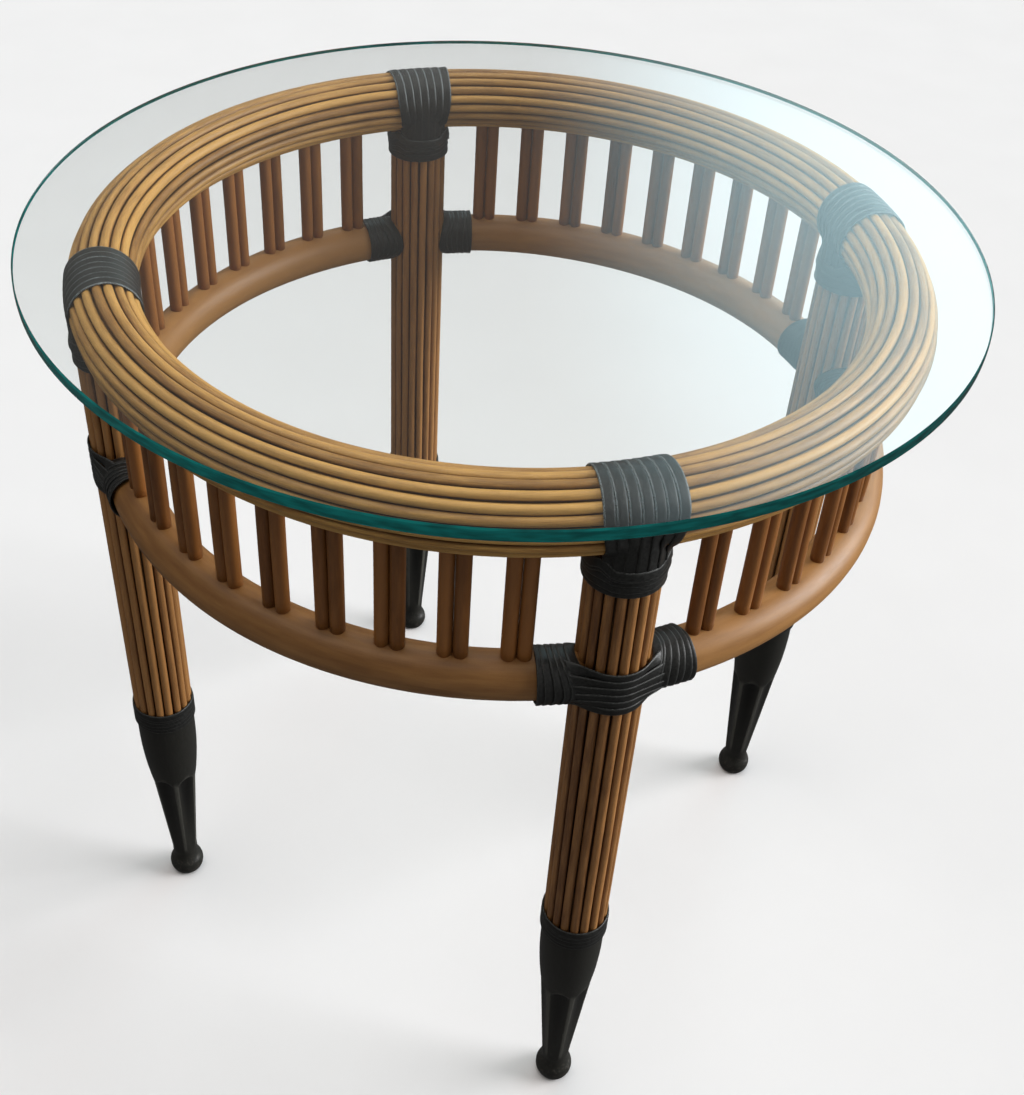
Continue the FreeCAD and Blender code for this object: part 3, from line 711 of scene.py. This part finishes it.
def wind_strip(axis_at, place_at, turns, tilt):
    """A strip wound round an axis.

    axis_at gives a point of the axis and two directions across it; place_at gives how far along the axis
    and how far out the strip lies, from its share of the way along the joint and its angle. The first
    and last turn stay at the ends, and close them.
    """
    phase = any_angle()
    wander = any_angle()
    points = []
    outs = []
    for step in range(turns * wind_steps + 1):
        swing = phase + 2 * math.pi * step / wind_steps
        share = min(max((step / wind_steps - 1.0) / (turns - 2.0), 0.0), 1.0)
        along, radius = place_at(share, swing)
        spot, first, second = axis_at(along + wind_sway * math.sin(wander_pace * (swing - phase) + wander))
        out = first * math.cos(swing) + second * math.sin(swing)
        points.append(spot + out * radius)
        outs.append(out)
    rings, across = strip_rings(points, outs, strip_half, tilt, drawn_share)
    return rings, across, (chance.uniform(0.0, grain_range), 0.0), even_tone(rings, 0.0)


def rail_axis(start, way):
    """The rail's curved axis from a leg, as distance along it."""

    def axis_at(along):
        angle = math.radians(start) + way * along / ring_radius
        return on_circle(ring_radius, angle, rail_height), on_circle(1.0, angle, 0.0), upward

    return axis_at


def rail_end_place(share, swing):
    """From the seam with the leg to a square end, lifted where the cross band runs underneath."""
    facing = math.cos(swing)
    radius = rail_radius + lay_gap + strip_thickness * ease(lift_start, lift_full, facing)
    seam = math.sqrt((pole_radius + lay_gap) ** 2 - (rail_radius * facing) ** 2)
    return (seam + strip_half) * (1.0 - share) + (stub_finish - strip_half) * share, radius


for bay, start in bays.items():
    for end, leg_angle, way in (("start", start, 1), ("finish", start + 90.0, -1)):
        strand = wind_strip(rail_axis(leg_angle, way), rail_end_place, rail_turns, -way * strip_tilt)
        winding = f"rail_end_winding_{bay}_{end}"
        add_piece(winding, [strand], leather, "black_leather", f"rail_binding_{bay}_{end}")


# Cross bands: leather strips drawn over the outer face of each leg from one rail binding to the other.
# Six lie close together, lapping a little, with their ends held under the rail bindings.
band_low, band_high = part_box("cross_band_right")
band_count = 6
band_reach = 0.031
band_slant = 0.0007
band_steps = 40
band_lie = 0.62
band_tilt = math.radians(7.0)
band_pitch = (band_high.z - band_low.z - 2 * strip_half) / (band_count - 1)
band_radius = pole_radius + lay_gap
band_side = rail_radius + lay_gap
band_drop = ring_radius - math.sqrt(ring_radius**2 - band_reach**2)
for leg, angle in legs.items():
    outward, beside = leg_directions(angle)
    slant = chance.uniform(-band_slant, band_slant)
    strands = []
    for index in range(band_count):
        above = (index - (band_count - 1) / 2) * band_pitch
        roll = math.asin(above / band_side)
        end_out = band_side * math.cos(roll) - band_drop
        end_angle = math.atan2(band_reach, end_out)
        lift_off = end_angle - math.acos(band_radius / math.hypot(band_reach, end_out))
        points = []
        outs = []
        for step in range(-band_steps, band_steps + 1):
            share = step / band_steps
            side = math.copysign(1.0, share)
            bend = min(abs(share) / band_lie, 1.0) * lift_off
            run = max(abs(share) - band_lie, 0.0) / (1.0 - band_lie)
            out_part = band_radius * math.cos(bend) * (1.0 - run) + end_out * run
            side_part = band_radius * math.sin(bend) * (1.0 - run) + band_reach * run
            spot = outward * (ring_radius + out_part) + beside * side * side_part
            points.append(Vector((spot.x, spot.y, rail_height + above + slant * share)))
            level_out = outward * math.cos(bend) + beside * side * math.sin(bend)
            lean = roll * ease(0.0, 1.0, run)
            outs.append(level_out * math.cos(lean) + upward * math.sin(lean))
        rings, across = strip_rings(points, outs, strip_half, band_tilt)
        strands.append((rings, across, (chance.uniform(0.0, grain_range), 0.0), even_tone(rings, 0.0)))
    add_piece(f"leg_cross_strips_{leg}", strands, leather, "black_leather", f"cross_band_{leg}")


# Ring saddles: seven leather strips laid side by side over the ring above each leg.
# They pass over the reeds and run down both faces of the leg, where the collar holds their ends.
saddle_count = 7
saddle_half = 0.0033
saddle_pitch = 0.0062
saddle_steps = 56
saddle_draw = 0.0056
draw_start = 0.5
saddle_skew = 0.00018
saddle_tilt = math.radians(5.0)
saddle_bend = 0.006
saddle_tuck = 0.006
saddle_radius = pole_radius + lay_gap
collar_low, collar_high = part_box("collar_binding_right")
saddle_end = collar_high.z - saddle_tuck
# Brighter painted glints on the saddles, only above the ring's middle where the light falls on them.
saddle_leather = strip_leather(
    "black_saddle_leather",
    glints_in_metre=520.0,
    glint_share=0.75,
    glint_floor=ring_height,
    glint_colour=(0.40, 0.45, 0.47, 1.0),
)
for leg, angle in legs.items():
    strands = []
    for index in range(saddle_count):
        from_middle = index - (saddle_count - 1) / 2
        aside = from_middle * saddle_pitch
        skew = chance.uniform(-saddle_skew, saddle_skew)
        hang = from_middle * saddle_draw / saddle_radius
        drawn_aside = saddle_radius * math.sin(hang)
        tail = ring_height - saddle_radius * math.sin(abs(hang)) - saddle_end
        arc = saddle_radius * (math.pi + 2 * abs(hang))
        points = []
        outs = []
        for step in range(saddle_steps + 1):
            distance = (arc + 2 * tail) * step / saddle_steps - tail
            sink = max(-distance, distance - arc, 0.0)
            facing = min(max(distance, 0.0), arc) / saddle_radius - abs(hang)
            down = ease(draw_start, -math.sin(abs(hang)), math.sin(facing))
            spread_aside = drawn_aside * down + aside * (1.0 - down)
            turn = math.radians(angle) + (spread_aside + skew * (1.0 - down)) / ring_radius
            level_out = on_circle(1.0, turn, 0.0)
            ring_out = level_out * math.cos(facing) + upward * math.sin(facing)
            leg_out = level_out * math.copysign(math.cos(hang), math.cos(facing))
            leg_out += Vector((-level_out.y, level_out.x, 0.0)) * math.sin(hang)
            share = 1.0 - ease(0.0, saddle_bend, min(distance, arc - distance))
            points.append(on_circle(ring_radius, turn, ring_height - sink) + ring_out * saddle_radius)
            outs.append((ring_out * (1.0 - share) + leg_out * share).normalized())
        rings, across = strip_rings(points, outs, saddle_half, saddle_tilt)
        strands.append((rings, across, (chance.uniform(0.0, grain_range), 0.0), even_tone(rings, 0.0)))
    add_piece(f"ring_saddle_strips_{leg}", strands, saddle_leather, "black_leather", f"ring_binding_{leg}")


# Collars: a leather strip wound round each leg close under the ring, over the ends of the saddles.
# Wound by hand, so the turns ride up on each other a little, and up into the crook under the ring.
leg_turns = 5
collar_lift = 0.0035
collar_ride = 0.0042
crook_start = 0.55
crook_full = 0.8
crook_fade = 0.85
collar_bottom = collar_low.z + collar_lift + strip_half
collar_top = collar_high.z - strip_half


def leg_axis(angle):
    """A leg's upright axis, as height above the floor."""
    outward, beside = leg_directions(angle)

    def axis_at(along):
        return outward * ring_radius + upward * along, outward, beside

    return axis_at


def collar_place(share, swing):
    """Up the leg, riding into the crook to both sides, and out over the ends of the saddles."""
    sideways = abs(math.sin(swing))
    crook = ease(crook_start, crook_full, sideways) * (1.0 - ease(crook_fade, 1.0, sideways))
    along = collar_bottom + (collar_top - collar_bottom) * share + collar_ride * crook * share
    over_saddles = strip_thickness * ease(saddle_end - strip_half, saddle_end, along)
    return along, pole_radius + lay_gap + over_saddles


for leg, angle in legs.items():
    strand = wind_strip(leg_axis(angle), collar_place, leg_turns, -strip_tilt)
    add_piece(f"collar_winding_{leg}", [strand], leather, "black_leather", f"collar_binding_{leg}")


# Foot bindings: the same strip wound where the reeds end, hiding the joint between reeds and foot.
# The lowest turn laps over the top of the foot.
hem_low, hem_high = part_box("foot_binding_right")
hem_tilt = math.radians(4.0)
hem_drop = 0.004
hem_bottom = hem_low.z + strip_half
hem_top = hem_high.z - hem_drop - strip_half


def hem_place(share, swing):
    """Up the leg, close on the reeds all round."""
    return hem_bottom + (hem_top - hem_bottom) * share, pole_radius + lay_gap


for leg, angle in legs.items():
    strand = wind_strip(leg_axis(angle), hem_place, leg_turns, -hem_tilt)
    add_piece(f"foot_winding_{leg}", [strand], leather, "black_leather", f"foot_binding_{leg}")


# Glass top: a loose disc of clear float glass with a ground and polished edge, the arrises taken off.
# It lies on the four saddles under its own weight. Seen through the edge the glass is deep green.
glass_low, glass_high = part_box("glass_top")
glass_radius = glass_high.x
glass_arris = 0.001
glass_sides = 256
edge_bulge = 0.0002
sharp_edge_angle = math.radians(30.0)
glass_refraction = 1.52
edge_deep = (0.001, 0.150, 0.142, 1.0)
edge_pale = (0.002, 0.310, 0.290, 1.0)

clear_glass, tree, shader = new_material("clear_float_glass")
place = add_node(tree, "ShaderNodeTexCoord").outputs["Object"]
smear = spread(tree, noise(tree, place, stretch=(9.0, 14.0, 9.0), detail=5.0), 0.48, 0.75, to_high=0.02)
tree.links.new(smear, shader.inputs["Roughness"])
shader.inputs["Base Color"].default_value = (0.965, 0.992, 0.982, 1.0)
shader.inputs["Transmission Weight"].default_value = 1.0
shader.inputs["IOR"].default_value = glass_refraction

edge_glass, tree, shader = new_material("green_glass_edge")
place = add_node(tree, "ShaderNodeTexCoord").outputs["Object"]
band = noise(tree, place, stretch=(11.0, 11.0, 60.0))
edge_colour = blend_colours(tree, spread(tree, band, 0.3, 0.7), edge_deep, edge_pale)
tree.links.new(edge_colour, shader.inputs["Base Color"])
tree.links.new(spread(tree, band, 0.3, 0.7, to_low=0.06, to_high=0.16), shader.inputs["Roughness"])
shader.inputs["Transmission Weight"].default_value = 0.1
shader.inputs["IOR"].default_value = glass_refraction

profile = (
    (glass_radius - glass_arris, glass_low.z),
    (glass_radius - edge_bulge, glass_low.z + glass_arris),
    (glass_radius, (glass_low.z + glass_high.z) / 2),
    (glass_radius - edge_bulge, glass_high.z - glass_arris),
    (glass_radius - glass_arris, glass_high.z),
)
corners = []
for radius, height in profile:
    for step in range(glass_sides):
        corners.append(on_circle(radius, 2 * math.pi * step / glass_sides, height))
faces = [tuple(range(glass_sides - 1, -1, -1))]
for row in range(len(profile) - 1):
    here = row * glass_sides
    above = here + glass_sides
    for step in range(glass_sides):
        beside = (step + 1) % glass_sides
        faces.append((here + step, here + beside, above + beside, above + step))
faces.append(tuple(range((len(profile) - 1) * glass_sides, len(profile) * glass_sides)))
mesh = bpy.data.meshes.new("glass_disc")
mesh.from_pydata(corners, [], faces)
mesh.materials.append(clear_glass)
mesh.materials.append(edge_glass)
for polygon in mesh.polygons[1:-1]:
    polygon.material_index = 1
    polygon.use_smooth = True
mesh.set_sharp_from_angle(angle=sharp_edge_angle)
mesh.update()
glass_disc = add_object("glass_disc", mesh)
glass_disc.visible_shadow = False
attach(glass_disc, "glass")
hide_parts("glass_top")


# Floor and light: a plain pale floor and backdrop under two wide soft lights, one from above and one
# from the right like a window. A glow behind the table is mirrored in the right half of the glass.
# The floor throws back less light than it shows, and isn't mirrored, so that undersides stay dark.
floor_half = 30.0
floor_deep = (0.825, 0.805, 0.805, 1.0)
floor_pale = (0.865, 0.845, 0.845, 1.0)
floor_thrown_back = (0.30, 0.30, 0.30, 1.0)

floor_finish, tree, shader = new_material("pale_floor")
place = add_node(tree, "ShaderNodeTexCoord").outputs["Object"]
cloud = noise(tree, place, stretch=(1.5, 1.5, 1.5), detail=3.0)
shown_floor = blend_colours(tree, cloud, floor_deep, floor_pale)
thrown_back = add_node(tree, "ShaderNodeLightPath").outputs["Is Diffuse Ray"]
floor_colour = blend_colours(tree, thrown_back, shown_floor, floor_thrown_back)
tree.links.new(floor_colour, shader.inputs["Base Color"])
shader.inputs["Roughness"].default_value = 0.9
shader.inputs["Specular IOR Level"].default_value = 0.0
floor_mesh = bpy.data.meshes.new("studio_floor")
floor_corners = [(x * floor_half, y * floor_half, 0) for x, y in ((-1, -1), (1, -1), (1, 1), (-1, 1))]
floor_mesh.from_pydata(floor_corners, [], [(0, 1, 2, 3)])
floor_mesh.materials.append(floor_finish)
studio_floor = add_object("studio_floor", floor_mesh)
studio_floor.visible_glossy = False

window_way = Vector((0.70, 0.62, 0.36)).normalized()
window_strength = 2.3
window_tint = (0.60, 0.90, 1.0, 1.0)
ground_strength = 0.07
sky_strength = 0.14
sky_tint = (1.0, 0.98, 0.95, 1.0)
backdrop_strength = 0.9
backdrop_tint = (1.0, 1.0, 1.0, 1.0)

surround = bpy.data.worlds.new("studio_surround")
bpy.context.scene.world = surround
surround.use_nodes = True
tree = surround.node_tree
away = add_node(tree, "ShaderNodeTexCoord").outputs["Generated"]
toward_window = add_node(tree, "ShaderNodeVectorMath", {0: away, 1: window_way}, operation="DOT_PRODUCT")
window_glow = spread(tree, toward_window.outputs["Value"], 0.87, 0.99, to_high=window_strength)
up = add_node(tree, "ShaderNodeSeparateXYZ", {0: away}).outputs["Z"]
sky_glow = spread(tree, up, -0.35, -0.05, to_low=ground_strength, to_high=sky_strength)
glow = calculate(tree, "ADD", window_glow, sky_glow)
window_share = calculate(tree, "DIVIDE", window_glow, glow)
glow_tint = blend_colours(tree, window_share, sky_tint, window_tint)

# The pale backdrop shows to the camera and level or downward through the glass, not as light or in mirrors.
ray = add_node(tree, "ShaderNodeLightPath").outputs
through_glass = calculate(tree, "MULTIPLY", ray["Is Transmission Ray"], spread(tree, up, 0.2, 0.05))
seen = calculate(tree, "MAXIMUM", ray["Is Camera Ray"], through_glass)
paler = calculate(tree, "SUBTRACT", backdrop_strength, glow)
background = tree.nodes["Background"]
tree.links.new(calculate(tree, "MULTIPLY_ADD", seen, paler, glow), background.inputs["Strength"])
tree.links.new(blend_colours(tree, seen, glow_tint, backdrop_tint), background.inputs["Color"])


def add_light(name, toward, strength, disc_angle, colour):
    """A wide soft light that falls evenly from one direction."""
    light = bpy.data.lights.new(name, "SUN")
    light.energy = strength
    light.angle = math.radians(disc_angle)
    light.color = colour
    stand = add_object(name, light)
    stand.rotation_euler = Vector(toward).to_track_quat("Z", "Y").to_euler()
    return stand


window_light = add_light(
    "window_light", toward=(2.4, -0.4, 0.85), strength=4.2, disc_angle=40.0, colour=(0.98, 0.99, 1.0)
)
add_light("sky_light", toward=(-0.4, 0.3, 2.4), strength=1.3, disc_angle=60.0, colour=(1.0, 0.98, 0.95))

# The glass mirrors the soft glow of the surround, not the hard disc of the window light.
unmirrored = bpy.data.collections.new("left_out_of_window_light")
unmirrored.objects.link(glass_disc)
unmirrored.collection_objects[0].light_linking.link_state = "EXCLUDE"
window_light.light_linking.receiver_collection = unmirrored
bpy.context.scene.view_settings.view_transform = "Standard"


# Camera: hand-held height, looking down on the table from the front and a little from its left.
# It is held a few degrees out of level, as the photograph was taken.
camera_azimuth = math.radians(-16.94)
camera_elevation = math.radians(40.33)
camera_roll = math.radians(3.37)
camera_distance = 1.0577
camera_target = Vector((0.0, 0.0, 0.324))
level = Vector((math.cos(camera_azimuth), math.sin(camera_azimuth), 0.0))
facing_away = Vector((math.sin(camera_azimuth), -math.cos(camera_azimuth), 0.0))
back = facing_away * math.cos(camera_elevation) + upward * math.sin(camera_elevation)
upright = back.cross(level)
right = level * math.cos(camera_roll) + upright * math.sin(camera_roll)
rise = upright * math.cos(camera_roll) - level * math.sin(camera_roll)
lens = bpy.data.cameras.new("photo_camera")
lens.lens = 46.53
lens.shift_x = 0.0217
lens.shift_y = -0.0102
camera = add_object("photo_camera", lens)
camera_turn = Matrix((right, rise, back)).transposed().to_4x4()
camera.matrix_world = Matrix.Translation(camera_target + back * camera_distance) @ camera_turn
bpy.context.scene.camera = camera
